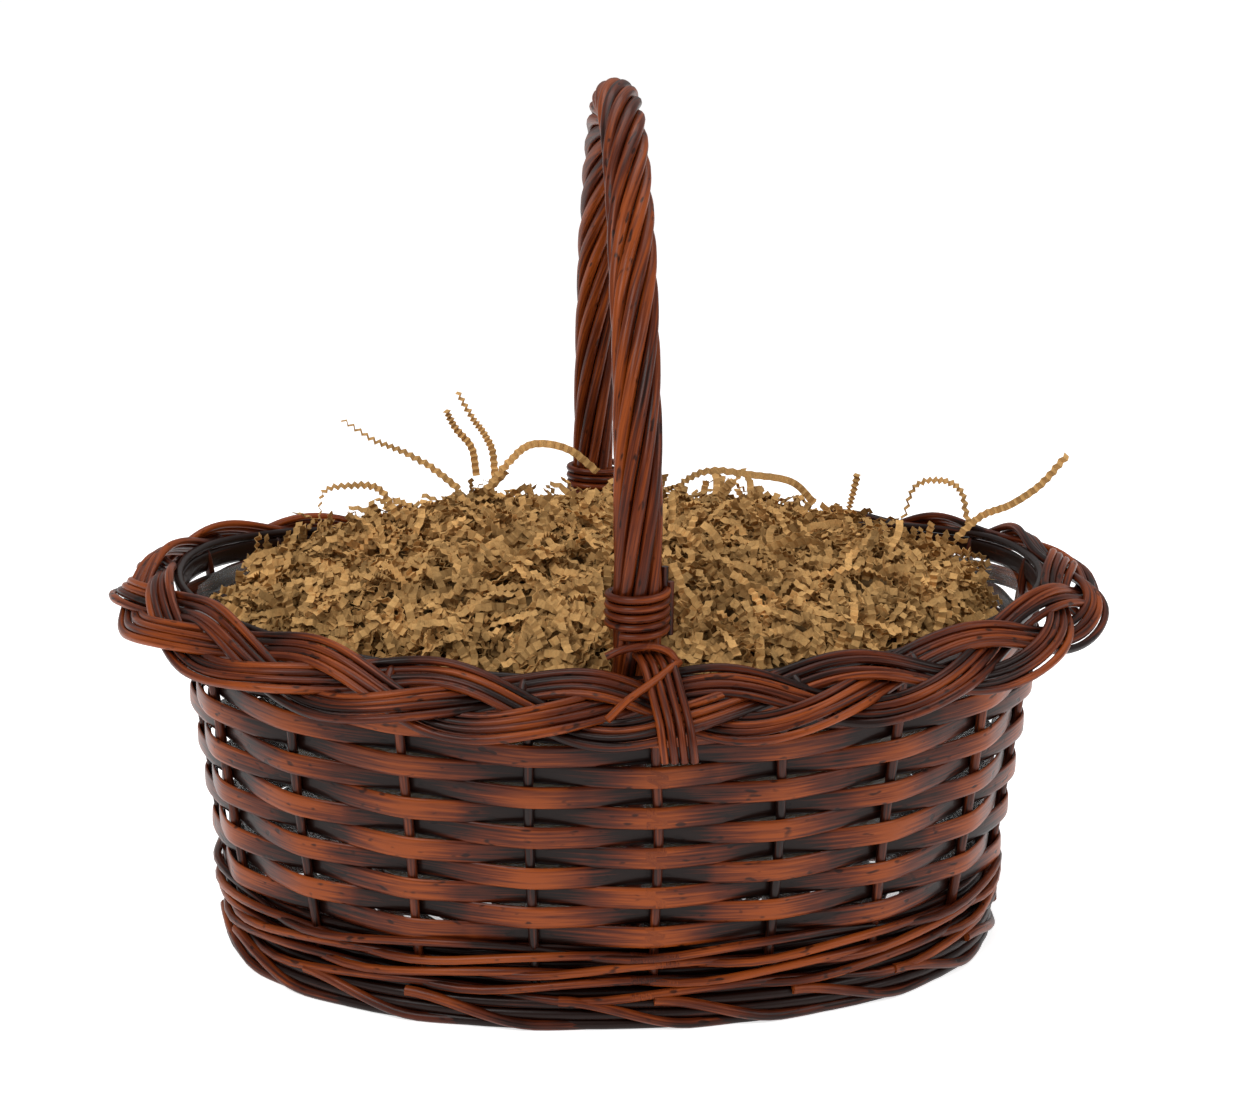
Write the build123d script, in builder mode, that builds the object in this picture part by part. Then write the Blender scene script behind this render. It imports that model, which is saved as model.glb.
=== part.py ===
"""Woven market basket: split-willow wall, plaited border, roped bow handle, liner film and paper fill.

Origin: centre of the foot, on the ground. +X along the long side, +Y to the rear, +Z up.
"""
import math
import os

from build123d import *

# ---- Driving dimensions, millimetres -------------------------------------------------------------
BORDER_LENGTH = 430.0       # over the plaited border
BORDER_WIDTH = 320.0
BORDER_REACH = 28.0         # the border stands out this far from the crest of the wall
CREST_HEIGHT = 151.0        # top of the border at the middle of a long side
RIM_RISE = 20.0             # the border's ends stand this much higher than its middle
BASE_LENGTH = 332.0         # wall line where it leaves the base
BASE_WIDTH = 250.0
OVAL_POWER = 2.2            # 2 is an ellipse, more is squarer
HANDLE_TOP = 367.0          # top of the bow above the ground

STAKE_COUNT = 20            # an even number, so that neighbouring rows alternate
STAKE_D = 4.2
STAKE_STUB = 24.0           # how far a stake runs in under the base weave
STRIP_THICKNESS = 1.6       # split-willow weaver
STRIP_HEIGHT = 8.0
ROW_COUNT = 12
ROW_PITCH = 8.4
WEAVE_SLACK = 0.8           # air between a stake and the weaver that passes it

FOOT_ROD_D = 4.6            # three rods that the basket stands on
FOOT_FLAT = 0.5             # depth of the bearing flat under the lowest one
WALE_ROD_D = 3.6            # two rounds of three rods above them
BORDER_ROD_D = 3.4
BORDER_SLOPE = 40.0         # degrees that the plait falls towards the outside
RODS_PER_STRAND = 4         # the border is a plait of three such strands
PLAIT_SWING = 11.0          # each plait strand swings this far either side of the border's middle
PLAIT_HEAVE = 2.6           # and rises and falls this much

BASE_LEVEL = 16.0           # middle of the base sticks above the ground
CROSS_STICK_WIDTH = 9.0
CROSS_STICK_HEIGHT = 6.4
CROSS_STICK_EDGE = 1.4      # rounding of a cross stick's long edges
CROSS_STICK_END = 2.0       # from a cross stick's end to the stakes' inner side
LONG_STICK_WIDTH = 5.0
LONG_STICK_HEIGHT = 4.0
LONG_STICK_EDGE = 1.2
LONG_STICK_SPACING = 15.4
BASE_ROD_D = 3.3
BASE_ROD_PITCH = 4.1
BASE_EDGE = 3.0             # from the stakes' inner side to the middle of the outermost base ring
BASE_HEART = 20.0           # half width of the middle that the innermost base ring goes round

BOW_D = 9.0                 # core rod of the handle
ROPING_ROD_D = 4.9
ROPING_COUNT = 8
ROPING_TURNS = 2.5
LEG_STRAIGHT = 22.0         # least straight part of each leg above the crest
BOW_ARCH = 1.47             # most half spans that the arched part is high
LEG_NESTING = 3.2           # how far the roping settles between the weavers
LEG_BELOW_CREST = 14.0      # how far the roping runs down inside the wall
BOW_SHOULDER = 50.0         # degrees from upright where the side arc meets the top arc
LASHING_ROD_D = 3.2
LASHING_TURNS = 4
LASHING_PITCH = 4.2
LASHING_DROP = 2.0          # from the top of the straight leg to the first turn
TAIL_COUNT = 4              # lashing rods laid over the border, beside the handle
TAIL_START = 4.0            # how far along the first one lies

STAKE_TOP_DROP = 9.0        # the stakes end this far under the crest, inside the plait

FILM_THICKNESS = 0.4
FILM_DROP = 12.0            # the film ends this far under the crest
FILL_DROP = 40.0            # the paper starts to round over this far under the crest
FILL_CREST = 184.0          # top of the heaped paper
FILL_SECTIONS = 7           # ovals that shape the heap
FILL_STEP = 13.0            # degrees of the heap's rounding from one to the next
FILL_GAP = 1.5              # between the film and the paper
CLEARANCE = 0.35            # air between pieces that lie side by side
ROD_AIR = 0.1               # air between rods that are laid tight
LEG_AIR = 1.0               # air round the handle's legs

# ---- Worked out from the driving dimensions ------------------------------------------------------
CREST_LENGTH = BORDER_LENGTH - 2 * BORDER_REACH
CREST_WIDTH = BORDER_WIDTH - 2 * BORDER_REACH
FOOT_RODS_TOP = 3 * FOOT_ROD_D - FOOT_FLAT
WALE_COUNT = 6
WALE_START = FOOT_RODS_TOP + 0.5 * WALE_ROD_D
FIRST_ROW = FOOT_RODS_TOP + WALE_COUNT * WALE_ROD_D + CLEARANCE
WEAVE_SWING = 0.5 * STAKE_D + 0.5 * STRIP_THICKNESS + WEAVE_SLACK
WALE_SWING = 0.5 * STAKE_D + 0.5 * WALE_ROD_D + CLEARANCE
FOOT_SWING = 0.5 * STAKE_D + 0.5 * FOOT_ROD_D + CLEARANCE
WEAVE_INSIDE = WEAVE_SWING + 0.5 * STRIP_THICKNESS
LEG_INSET = WEAVE_INSIDE + 0.5 * BOW_D + ROPING_ROD_D - LEG_NESTING
ROPED_RADIUS = 0.5 * BOW_D + ROPING_ROD_D + ROD_AIR
STAKE_SHIFT = 0.5 * (BOW_D + STAKE_D) + LEG_AIR

os.makedirs("parts", exist_ok=True)


# ---- Shapes that the whole basket shares ---------------------------------------------------------
def oval_stations(half_length, half_width, count, shift=0.0):
    """Evenly spaced stations round an oval from its front middle: x, y and outward direction."""
    fine = 1440
    ring = []
    for step in range(fine):
        angle = 2 * math.pi * step / fine - math.pi / 2
        along, across = math.cos(angle), math.sin(angle)
        size = (abs(along) ** OVAL_POWER + abs(across) ** OVAL_POWER) ** (-1 / OVAL_POWER)
        ring.append((half_length * along * size, half_width * across * size))
    lengths = [math.dist(ring[i], ring[(i + 1) % fine]) for i in range(fine)]
    perimeter = sum(lengths)
    stations = []
    walked, step = 0.0, 0
    for index in range(count):
        target = (shift + perimeter * index / count) % perimeter
        if target < walked:
            walked, step = 0.0, 0
        while walked + lengths[step] < target:
            walked += lengths[step]
            step += 1
        share = (target - walked) / lengths[step]
        here, after = ring[step], ring[(step + 1) % fine]
        dx, dy = after[0] - here[0], after[1] - here[1]
        run = math.hypot(dx, dy)
        stations.append((here[0] + share * dx, here[1] + share * dy, dy / run, -dx / run))
    return stations


def wall_share(z):
    """0 at the base, 1 at the crest."""
    return (z - BASE_LEVEL) / (CREST_HEIGHT - BASE_LEVEL)


def wall_size(z):
    """Half length and half width of the wall line at a height."""
    share = wall_share(z)
    half_length = 0.5 * (BASE_LENGTH + share * (CREST_LENGTH - BASE_LENGTH))
    half_width = 0.5 * (BASE_WIDTH + share * (CREST_WIDTH - BASE_WIDTH))
    return half_length, half_width


def rise(x, z):
    """Extra height towards the basket's ends, growing from nothing at the base."""
    return RIM_RISE * (2 * x / BORDER_LENGTH) ** 2 * max(0.0, wall_share(z))


def wall_stations(z, count, shift=0.0):
    """Stations round the wall line at a height."""
    return oval_stations(*wall_size(z), count, shift)


def corner_radii(points, closed):
    """Largest gentle radius for each corner of a rod's path."""
    radii = []
    last = len(points)
    for index in range(last) if closed else range(1, last - 1):
        before = Vector(points[index]) - Vector(points[index - 1])
        after = Vector(points[(index + 1) % last]) - Vector(points[index])
        turn = math.radians(max(0.05, before.get_angle(after)))
        radii.append(0.45 * min(before.length, after.length) / math.tan(turn / 2))
    return radii


def round_rod(points, diameter, closed=False):
    """A round rod along a path of runs and arcs, to be added to the part that is being built."""
    with BuildLine(mode=Mode.PRIVATE) as path:
        FilletPolyline(*points, radius=corner_radii(points, closed), close=closed)
    with BuildSketch(Plane(path.line @ 0, z_dir=path.line % 0)) as section:
        Circle(0.5 * diameter)
    return sweep(section.sketch, path=path.line, mode=Mode.PRIVATE).solids()


def oval_face(half_length, half_width, mode=Mode.ADD):
    """A filled oval in the sketch that is being built."""
    with BuildLine(mode=Mode.PRIVATE) as outline:
        Spline(*[(x, y) for x, y, _, _ in oval_stations(half_length, half_width, 32)], periodic=True)
    make_face(outline.edges(), mode=mode)


def wave_face(z, phase, offset, mode=Mode.ADD):
    """A face whose edge passes alternately outside and inside the stakes."""
    points = []
    for index, (x, y, nx, ny) in enumerate(wall_stations(z, 2 * STAKE_COUNT, STAKE_SHIFT)):
        out = offset + WEAVE_SWING * math.cos(math.pi * (index / 2 + phase))
        points.append((x + out * nx, y + out * ny))
    with BuildLine(mode=Mode.PRIVATE) as outline:
        Spline(*points, periodic=True)
    make_face(outline.edges(), mode=mode)


def finish(builder, name):
    """Label a piece and write it."""
    builder.part.label = name
    export_step(builder.part, f"parts/{name}.step")


# ---- Base ----------------------------------------------------------------------------------------
base_stakes = wall_stations(BASE_LEVEL, STAKE_COUNT, STAKE_SHIFT)
base_half_length, base_half_width = wall_size(BASE_LEVEL)
front_x = sorted(x for x, y, _, _ in base_stakes if y < 0)
rear_x = sorted(x for x, y, _, _ in base_stakes if y > 0)
cross_x = [0.5 * (front + rear) for front, rear in zip(front_x, rear_x)][1:-1]
inner_edge = 0.5 * STAKE_D + CLEARANCE


def half_chord(x):
    """Half width of the base oval at a place along it."""
    share = min(1.0, abs(x) / base_half_length)
    return base_half_width * (1 - share ** OVAL_POWER) ** (1 / OVAL_POWER)


with BuildPart() as cross_sticks:
    for x in cross_x:
        length = 2 * (half_chord(x) - inner_edge - CROSS_STICK_END)
        with Locations((x, 0, BASE_LEVEL)):
            Box(CROSS_STICK_WIDTH, length, CROSS_STICK_HEIGHT)
    fillet(cross_sticks.edges().filter_by(Axis.Y), CROSS_STICK_EDGE)
    for row in (-1, 0, 1):
        with Locations((0, row * LONG_STICK_SPACING, BASE_LEVEL)):
            Box(
                BASE_LENGTH,
                LONG_STICK_WIDTH + 2 * CLEARANCE,
                LONG_STICK_HEIGHT + 2 * CLEARANCE,
                mode=Mode.SUBTRACT,
            )
finish(cross_sticks, "base_cross_sticks")

with BuildPart() as long_sticks:
    for row in (-1, 0, 1):
        with Locations((0, row * LONG_STICK_SPACING, BASE_LEVEL)):
            Box(BASE_LENGTH - 4 * inner_edge, LONG_STICK_WIDTH, LONG_STICK_HEIGHT)
    fillet(long_sticks.edges().filter_by(Axis.X), LONG_STICK_EDGE)
finish(long_sticks, "base_long_sticks")

ring_outset = [
    -(inner_edge + BASE_EDGE + index * BASE_ROD_PITCH)
    for index in range(int((base_half_width - BASE_HEART) / BASE_ROD_PITCH))
]
layer_gap = 0.5 * CROSS_STICK_HEIGHT + CLEARANCE
for layer, name in ((0, "base_weave_upper"), (1, "base_weave_lower")):
    level = BASE_LEVEL + (1 - 2 * layer) * (layer_gap + 0.5 * BASE_ROD_D)
    rings = []
    for outset in ring_outset[layer::2]:
        stations = oval_stations(base_half_length + outset, base_half_width + outset, STAKE_COUNT)
        rings += round_rod([(x, y, level) for x, y, _, _ in stations], BASE_ROD_D, closed=True)
    with BuildPart() as base_weave:
        add(rings)
    finish(base_weave, name)

# ---- Side stakes: one rod each, in under the base, pricked up and run to the border --------------
stake_top_level = CREST_HEIGHT - STAKE_TOP_DROP
stake_tops = wall_stations(stake_top_level, STAKE_COUNT, STAKE_SHIFT)
for index in range(STAKE_COUNT):
    x, y, nx, ny = base_stakes[index]
    top_x, top_y, _, _ = stake_tops[index]
    stub = (x - STAKE_STUB * nx, y - STAKE_STUB * ny, BASE_LEVEL)
    knee = (x, y, BASE_LEVEL)
    top = (top_x, top_y, stake_top_level + rise(top_x, stake_top_level))
    with BuildPart() as stake:
        with BuildLine(mode=Mode.PRIVATE) as path:
            FilletPolyline(stub, knee, top, radius=2.2 * STAKE_D)
        with BuildSketch(Plane(path.line @ 0, z_dir=path.line % 0)) as section:
            Circle(0.5 * STAKE_D)
        sweep(section.sketch, path=path.line)
    finish(stake, f"side_stake_{index + 1:02d}")


# ---- Round rods at the foot and the upset --------------------------------------------------------
for index in range(3):
    level = 0.5 * FOOT_ROD_D - FOOT_FLAT + index * FOOT_ROD_D
    with BuildPart() as foot_rod:
        stations = oval_stations(
            base_half_length + FOOT_SWING, base_half_width + FOOT_SWING, 2 * STAKE_COUNT
        )
        add(round_rod([(x, y, level) for x, y, _, _ in stations], FOOT_ROD_D, closed=True))
        if index == 0:
            split(bisect_by=Plane.XY, keep=Keep.TOP)
    finish(foot_rod, f"foot_border_rod_{index + 1}")

for index in range(3):
    with BuildPart() as wale_rod:
        for turn in range(2):
            level = WALE_START + (index + 3 * turn) * WALE_ROD_D
            half_length, half_width = wall_size(level)
            stations = oval_stations(
                half_length + WALE_SWING, half_width + WALE_SWING, 2 * STAKE_COUNT
            )
            add(round_rod([(x, y, level) for x, y, _, _ in stations], WALE_ROD_D, closed=True))
    finish(wale_rod, f"upset_wale_rod_{index + 1}")

# ---- Wall: split-willow rows ---------------------------------------------------------------------
for row in range(ROW_COUNT):
    middle = FIRST_ROW + (row + 0.5) * ROW_PITCH
    with BuildPart() as weave_row:
        with BuildSketch(Plane.XY.offset(middle - 0.5 * STRIP_HEIGHT)):
            wave_face(middle, row, 0.5 * STRIP_THICKNESS)
            wave_face(middle, row, -0.5 * STRIP_THICKNESS, Mode.SUBTRACT)
        extrude(amount=STRIP_HEIGHT)
    finish(weave_row, f"weave_row_{row + 1:02d}")

# ---- Plaited border: three strands of four rods --------------------------------------------------
slope = math.radians(BORDER_SLOPE)
rod_gap = BORDER_ROD_D + ROD_AIR
outermost = PLAIT_SWING + 0.5 * (RODS_PER_STRAND - 1) * rod_gap
border_out = BORDER_REACH - 0.5 * BORDER_ROD_D - outermost * math.cos(slope)
border_level = CREST_HEIGHT - 0.5 * BORDER_ROD_D - outermost * math.sin(slope)
steps_per_stake = 3


def border_point(station, across, heave):
    """A point of the plait from its place across the sloping border and above its surface."""
    x, y, nx, ny = station
    out = border_out + across * math.cos(slope) + heave * math.sin(slope)
    z = border_level - across * math.sin(slope) + heave * math.cos(slope)
    return x + out * nx, y + out * ny, z + rise(x + out * nx, CREST_HEIGHT)


border_stations = oval_stations(
    0.5 * CREST_LENGTH, 0.5 * CREST_WIDTH, steps_per_stake * STAKE_COUNT, STAKE_SHIFT
)
stake_spacing = math.dist(border_stations[0][:2], border_stations[steps_per_stake][:2])
steepness = 2 * math.pi * PLAIT_SWING / (3 * stake_spacing)
for strand in range(3):
    for rod in range(RODS_PER_STRAND):
        side = (rod - 0.5 * (RODS_PER_STRAND - 1)) * rod_gap
        points = []
        for index in range(steps_per_stake * STAKE_COUNT):
            swing = 2 * math.pi * (index / steps_per_stake + strand) / 3
            spread = side * math.hypot(1.0, steepness * math.cos(swing))
            across = PLAIT_SWING * math.sin(swing) + spread
            heave = -PLAIT_HEAVE * math.sin(2 * swing)
            points.append(border_point(border_stations[index], across, heave))
        with BuildPart() as plait_rod:
            add(round_rod(points, BORDER_ROD_D))
        finish(plait_rod, f"border_plait_{strand + 1}_rod_{rod + 1}")

# ---- Bow handle ----------------------------------------------------------------------------------
foot_z = BASE_LEVEL + layer_gap + BASE_ROD_D + LEG_AIR
crown_z = HANDLE_TOP - ROPED_RADIUS
foot_y = wall_size(foot_z)[1] - LEG_INSET
leg_top_z = CREST_HEIGHT + LEG_STRAIGHT
leg_top_y = wall_size(leg_top_z)[1] - LEG_INSET
leg_top_z = max(leg_top_z, crown_z - BOW_ARCH * leg_top_y)
leg_top_y = wall_size(leg_top_z)[1] - LEG_INSET
lean = math.atan2(leg_top_y - foot_y, leg_top_z - foot_z)
shoulder = math.radians(BOW_SHOULDER)
# side radius R1 and top radius R2 from the two equations that close the half bow
a11, a12 = math.cos(lean) - math.cos(shoulder), math.cos(shoulder)
a21, a22 = math.sin(shoulder) + math.sin(lean), 1 - math.sin(shoulder)
height_left = crown_z - leg_top_z
determinant = a11 * a22 - a12 * a21
side_radius = (leg_top_y * a22 - a12 * height_left) / determinant
top_radius = (a11 * height_left - a21 * leg_top_y) / determinant
leg_length = math.hypot(leg_top_y - foot_y, leg_top_z - foot_z)
side_arc = side_radius * (shoulder + lean)
half_bow = leg_length + side_arc + top_radius * (math.pi / 2 - shoulder)
crest_walk = leg_length - (leg_top_z - CREST_HEIGHT)
print(f"bow radii {side_radius:.1f} and {top_radius:.1f}, length {2 * half_bow:.0f}")


def bow_point(walked):
    """Place on the bow's middle line and its outward direction, as y, z, ny, nz."""
    side = -1.0
    if walked > half_bow:
        walked, side = 2 * half_bow - walked, 1.0
    if walked <= leg_length:
        heading = -lean
        y = foot_y - walked * math.sin(heading)
        z = foot_z + walked * math.cos(heading)
    elif walked <= leg_length + side_arc:
        heading = -lean + (walked - leg_length) / side_radius
        y = leg_top_y - side_radius * (math.cos(lean) - math.cos(heading))
        z = leg_top_z + side_radius * (math.sin(heading) + math.sin(lean))
    else:
        heading = shoulder + (walked - leg_length - side_arc) / top_radius
        y = top_radius * math.cos(heading)
        z = crown_z - top_radius * (1 - math.sin(heading))
    return side * y, z, side * math.cos(heading), math.sin(heading)


with BuildPart() as bow:
    with BuildLine(Plane.YZ, mode=Mode.PRIVATE) as bow_line:
        points = [(-foot_y, foot_z), (-leg_top_y, leg_top_z)]
        for walked in (leg_length + 0.5 * side_arc, leg_length + side_arc, half_bow):
            points.append(bow_point(walked)[:2])
        for walked in (half_bow * 2 - leg_length - side_arc, half_bow * 2 - leg_length - 0.5 * side_arc):
            points.append(bow_point(walked)[:2])
        points += [(leg_top_y, leg_top_z), (foot_y, foot_z)]
        Line(points[0], points[1])
        ThreePointArc(points[1], points[2], points[3])
        ThreePointArc(points[3], points[4], points[5])
        ThreePointArc(points[5], points[6], points[7])
        Line(points[7], points[8])
    with BuildSketch(Plane(bow_line.line @ 0, z_dir=bow_line.line % 0)) as section:
        Circle(0.5 * BOW_D)
    sweep(section.sketch, path=bow_line.line)
finish(bow, "handle_bow")

roping_start = crest_walk - LEG_BELOW_CREST
roping_steps = 40
ring_radius = 0.5 * (BOW_D + ROPING_ROD_D) + ROD_AIR
roping_rods = []
for rod in range(ROPING_COUNT):
    points = []
    for step in range(roping_steps + 1):
        share = step / roping_steps
        y, z, ny, nz = bow_point(roping_start + share * 2 * (half_bow - roping_start))
        around = 2 * math.pi * (rod / ROPING_COUNT - ROPING_TURNS * share)
        out = ring_radius * math.sin(around)
        points.append((ring_radius * math.cos(around), y + out * ny, z + out * nz))
    roping_rods += round_rod(points, ROPING_ROD_D)
with BuildPart() as roping:
    add(roping_rods)
finish(roping, "handle_roping_rods")

# ---- Lashings that tie the bow to the border -----------------------------------------------------
lashing_radius = ROPED_RADIUS + 0.5 * LASHING_ROD_D + CLEARANCE
middle_station = oval_stations(0.5 * CREST_LENGTH, 0.5 * CREST_WIDTH, 1)[0]
tail_clear = PLAIT_HEAVE + 0.5 * BORDER_ROD_D + 0.5 * LASHING_ROD_D + 3 * CLEARANCE
tail_end = 0.5 * BORDER_ROD_D + outermost
for side, name in ((-1, "front_lashing"), (1, "rear_lashing")):
    with BuildPart() as lashing:
        for turn in range(LASHING_TURNS):
            y, z, ny, nz = bow_point(crest_walk + LEG_STRAIGHT - LASHING_DROP - turn * LASHING_PITCH)
            ring_plane = Plane((0, -side * y, z), z_dir=(0, -side * nz, ny))
            with BuildLine(mode=Mode.PRIVATE) as path:
                CenterArc((0, 0, 0), lashing_radius, 0, 360)
            ring_line = ring_plane * path.line
            with BuildSketch(Plane(ring_line @ 0, z_dir=ring_line % 0)) as section:
                Circle(0.5 * LASHING_ROD_D)
            sweep(section.sketch, path=ring_line)
        for tail in range(TAIL_COUNT):
            along = TAIL_START + tail * (LASHING_ROD_D + CLEARANCE)
            path_points = []
            for across, heave in (
                (-outermost - 6.0, 0.0),
                (-outermost + 3.0, tail_clear),
                (0.0, tail_clear + 1.0),
                (tail_end - 3.0, tail_clear),
                (tail_end + 4.0, -1.0),
            ):
                x, y, z = border_point(middle_station, across, heave)
                path_points.append((-side * along, -side * y, z))
            add(round_rod(path_points, LASHING_ROD_D))
    finish(lashing, name)

# ---- Liner film and paper fill -------------------------------------------------------------------
floor_level = foot_z
film_top = CREST_HEIGHT - FILM_DROP
film_inset = WEAVE_INSIDE + 2 * CLEARANCE


def level_oval(half_length, half_width, level):
    """A filled oval lying at a height."""
    with BuildSketch(Plane.XY.offset(level)) as section:
        oval_face(half_length, half_width)
    return section.sketch


def add_cup(inset, bottom, top):
    """A filled tapering cup that follows the inside of the wall."""
    sections = []
    for level in (bottom, top):
        half_length, half_width = wall_size(level)
        sections.append(level_oval(half_length - inset, half_width - inset, level))
    loft(sections)


def cut_leg_room():
    """Take away the room that the handle's legs need inside the wall."""
    for side in (-1, 1):
        with BuildLine(mode=Mode.PRIVATE) as leg_line:
            Line((0, side * foot_y, foot_z - LEG_AIR), (0, side * leg_top_y, leg_top_z))
        with BuildSketch(Plane(leg_line.line @ 0, z_dir=leg_line.line % 0)) as section:
            Circle(ROPED_RADIUS + LEG_AIR)
        sweep(section.sketch, path=leg_line.line, mode=Mode.SUBTRACT)


with BuildPart() as film_room:
    add_cup(film_inset + FILM_THICKNESS, floor_level + FILM_THICKNESS, film_top + FILM_THICKNESS)
with BuildPart() as film:
    add_cup(film_inset, floor_level, film_top)
    add(film_room.part, mode=Mode.SUBTRACT)
    cut_leg_room()
finish(film, "liner_film")

fill_inset = film_inset + FILM_THICKNESS + FILL_GAP
fill_bottom = floor_level + FILM_THICKNESS + CLEARANCE
fill_edge = CREST_HEIGHT - FILL_DROP
with BuildPart() as fill:
    add_cup(fill_inset, fill_bottom, fill_edge)
    half_length, half_width = wall_size(fill_edge)
    heap = []
    for step in range(FILL_SECTIONS):
        angle = math.radians(FILL_STEP * step)
        level = fill_edge + (FILL_CREST - fill_edge) * math.sin(angle)
        size = math.cos(angle)
        heap.append(
            level_oval((half_length - fill_inset) * size, (half_width - fill_inset) * size, level)
        )
    loft(heap, ruled=True)
    cut_leg_room()
finish(fill, "paper_fill")
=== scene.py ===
"""Woven market basket: the finished look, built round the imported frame."""
import math
import random

import bmesh
import bpy
from mathutils import Matrix, Vector, noise


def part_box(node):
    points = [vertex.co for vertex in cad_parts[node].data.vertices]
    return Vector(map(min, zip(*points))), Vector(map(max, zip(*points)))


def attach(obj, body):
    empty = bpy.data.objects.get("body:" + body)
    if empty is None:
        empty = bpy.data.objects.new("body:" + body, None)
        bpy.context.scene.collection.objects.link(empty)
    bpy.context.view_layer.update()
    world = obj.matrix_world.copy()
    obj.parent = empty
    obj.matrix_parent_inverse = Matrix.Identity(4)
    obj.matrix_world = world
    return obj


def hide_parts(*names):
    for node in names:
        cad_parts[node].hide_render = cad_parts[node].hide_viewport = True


bl_info = {
    "name": "Woven Market Basket",
    "version": (1, 0, 0),
    "blender": (4, 5, 0),
    "location": "View3D > Sidebar > Basket",
    "description": "Builds a stained-willow market basket piece by piece",
    "category": "Object",
}

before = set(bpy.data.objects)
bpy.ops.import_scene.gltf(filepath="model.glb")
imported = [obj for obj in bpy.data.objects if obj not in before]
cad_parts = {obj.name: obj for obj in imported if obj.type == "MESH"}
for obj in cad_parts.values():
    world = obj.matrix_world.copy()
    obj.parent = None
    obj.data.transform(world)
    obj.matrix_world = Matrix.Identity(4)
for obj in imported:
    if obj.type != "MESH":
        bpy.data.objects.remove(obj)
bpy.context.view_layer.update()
MM = 0.001

# ---- Sizes that follow the frame -----------------------------------------------------------------
STAKE_COUNT = sum(name.startswith("side_stake_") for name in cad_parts)
ROW_COUNT = sum(name.startswith("weave_row_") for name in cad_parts)
FOOT_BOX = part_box("foot_border_rod_2")
ROPING_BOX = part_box("handle_roping_rods")
BOW_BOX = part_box("handle_bow")
FILL_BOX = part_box("paper_fill")
BORDER_BOXES = [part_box(name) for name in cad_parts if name.startswith("border_plait_")]
BORDER_HALF_LENGTH = max(high.x for _, high in BORDER_BOXES)
BORDER_HALF_WIDTH = max(high.y for _, high in BORDER_BOXES)
OVAL_POWER = 2.2               # 2 is an ellipse, more is squarer
OVAL_FINENESS = 1440           # corners of the oval that stations are measured along
STAKE_RADIUS = 2.1 * MM
FOOT_ROD_RADIUS = 0.5 * (FOOT_BOX[1].z - FOOT_BOX[0].z)
FOOT_OUTSET = STAKE_RADIUS + 2 * FOOT_ROD_RADIUS
FOOT_TOP = 13.0 * MM
BASE_HALF = (FOOT_BOX[1].x - FOOT_OUTSET, FOOT_BOX[1].y - FOOT_OUTSET)
BORDER_REACH = 28 * MM         # from the crest to the border's outer edge
BORDER_ROD_RADIUS = 1.7 * MM
CREST_HALF = (BORDER_HALF_LENGTH - BORDER_REACH, BORDER_HALF_WIDTH - BORDER_REACH)
BASE_LEVEL = 16 * MM
CREST_LEVEL = 151 * MM
RIM_RISE = 20 * MM             # the rim stands this much higher at its ends
STAKE_SHIFT = 7.6 * MM         # the first stake stands beside the handle's leg
STAKE_TOP_DROP = 9 * MM
BASE_RODS = 25
BASE_ROD_RADIUS = 1.65 * MM
BASE_ROD_PITCH = 4.1 * MM
BASE_ROD_EDGE = 5.6 * MM       # from the stakes' line to the outermost base rod
BASE_ROD_SWING = 4.7 * MM      # over and under the sticks
WALE_WAVES = 7                 # a three-rod wale over twenty stakes, made whole so that it closes
WALE_STEPS = 14
WALE_HEAVE = 2.6 * MM
BORDER_SLOPE = math.radians(40)
PLAIT_SWING = 11.0 * MM
PLAIT_GAP = 3.5 * MM
PLAIT_RODS = 4
PLAIT_EDGE = PLAIT_SWING + 0.5 * (PLAIT_RODS - 1) * PLAIT_GAP
PLAIT_HEAVE = 2.6 * MM
LEG_INSET = 10.7 * MM
LEG_STRAIGHT = 22 * MM
LEG_BELOW_CREST = 14 * MM      # how far the roping runs down inside the wall
LEG_END_TILT = 0.5 * MM        # the leaning foot reaches this far under its middle
ROPED_RADIUS = 9.6 * MM
ROPING_MIDDLE = 7.05 * MM      # from the bow's middle to that of a roping rod
ROPING_COUNT = 8
ROPING_TURNS = 2.9
ROPING_EASE = 0.42             # the twist slackens this much towards the legs
LASHING_TURNS = 4.4
LASHING_PITCH = 3.6 * MM
BOW_SHOULDER = math.radians(50)
GIRTH_WAVES = 45               # noise to a metre of rod, for its swelling
KNOT_WAVES = 28
KNOT_LEVEL = 0.42              # noise above this is a knot
KNOT_SWELL = 3.2
PAPER_THICKNESS = 0.16 * MM

# Roughness, varnish coat and lift of the tone, for each kind of willow
WILLOW_LOOKS = {
    "base willow": (0.50, 0.15, 0.0),
    "foot willow": (0.40, 0.12, -0.05),
    "upset willow": (0.40, 0.12, 0.01),
    "stake willow": (0.45, 0.25, -0.05),
    "split willow": (0.38, 0.15, -0.10),
    "border willow": (0.40, 0.12, -0.07),
    "handle willow": (0.40, 0.12, 0.08),
    "lashing willow": (0.40, 0.12, 0.0),
    "hidden willow": (0.50, 0.15, -0.02),
}


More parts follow.
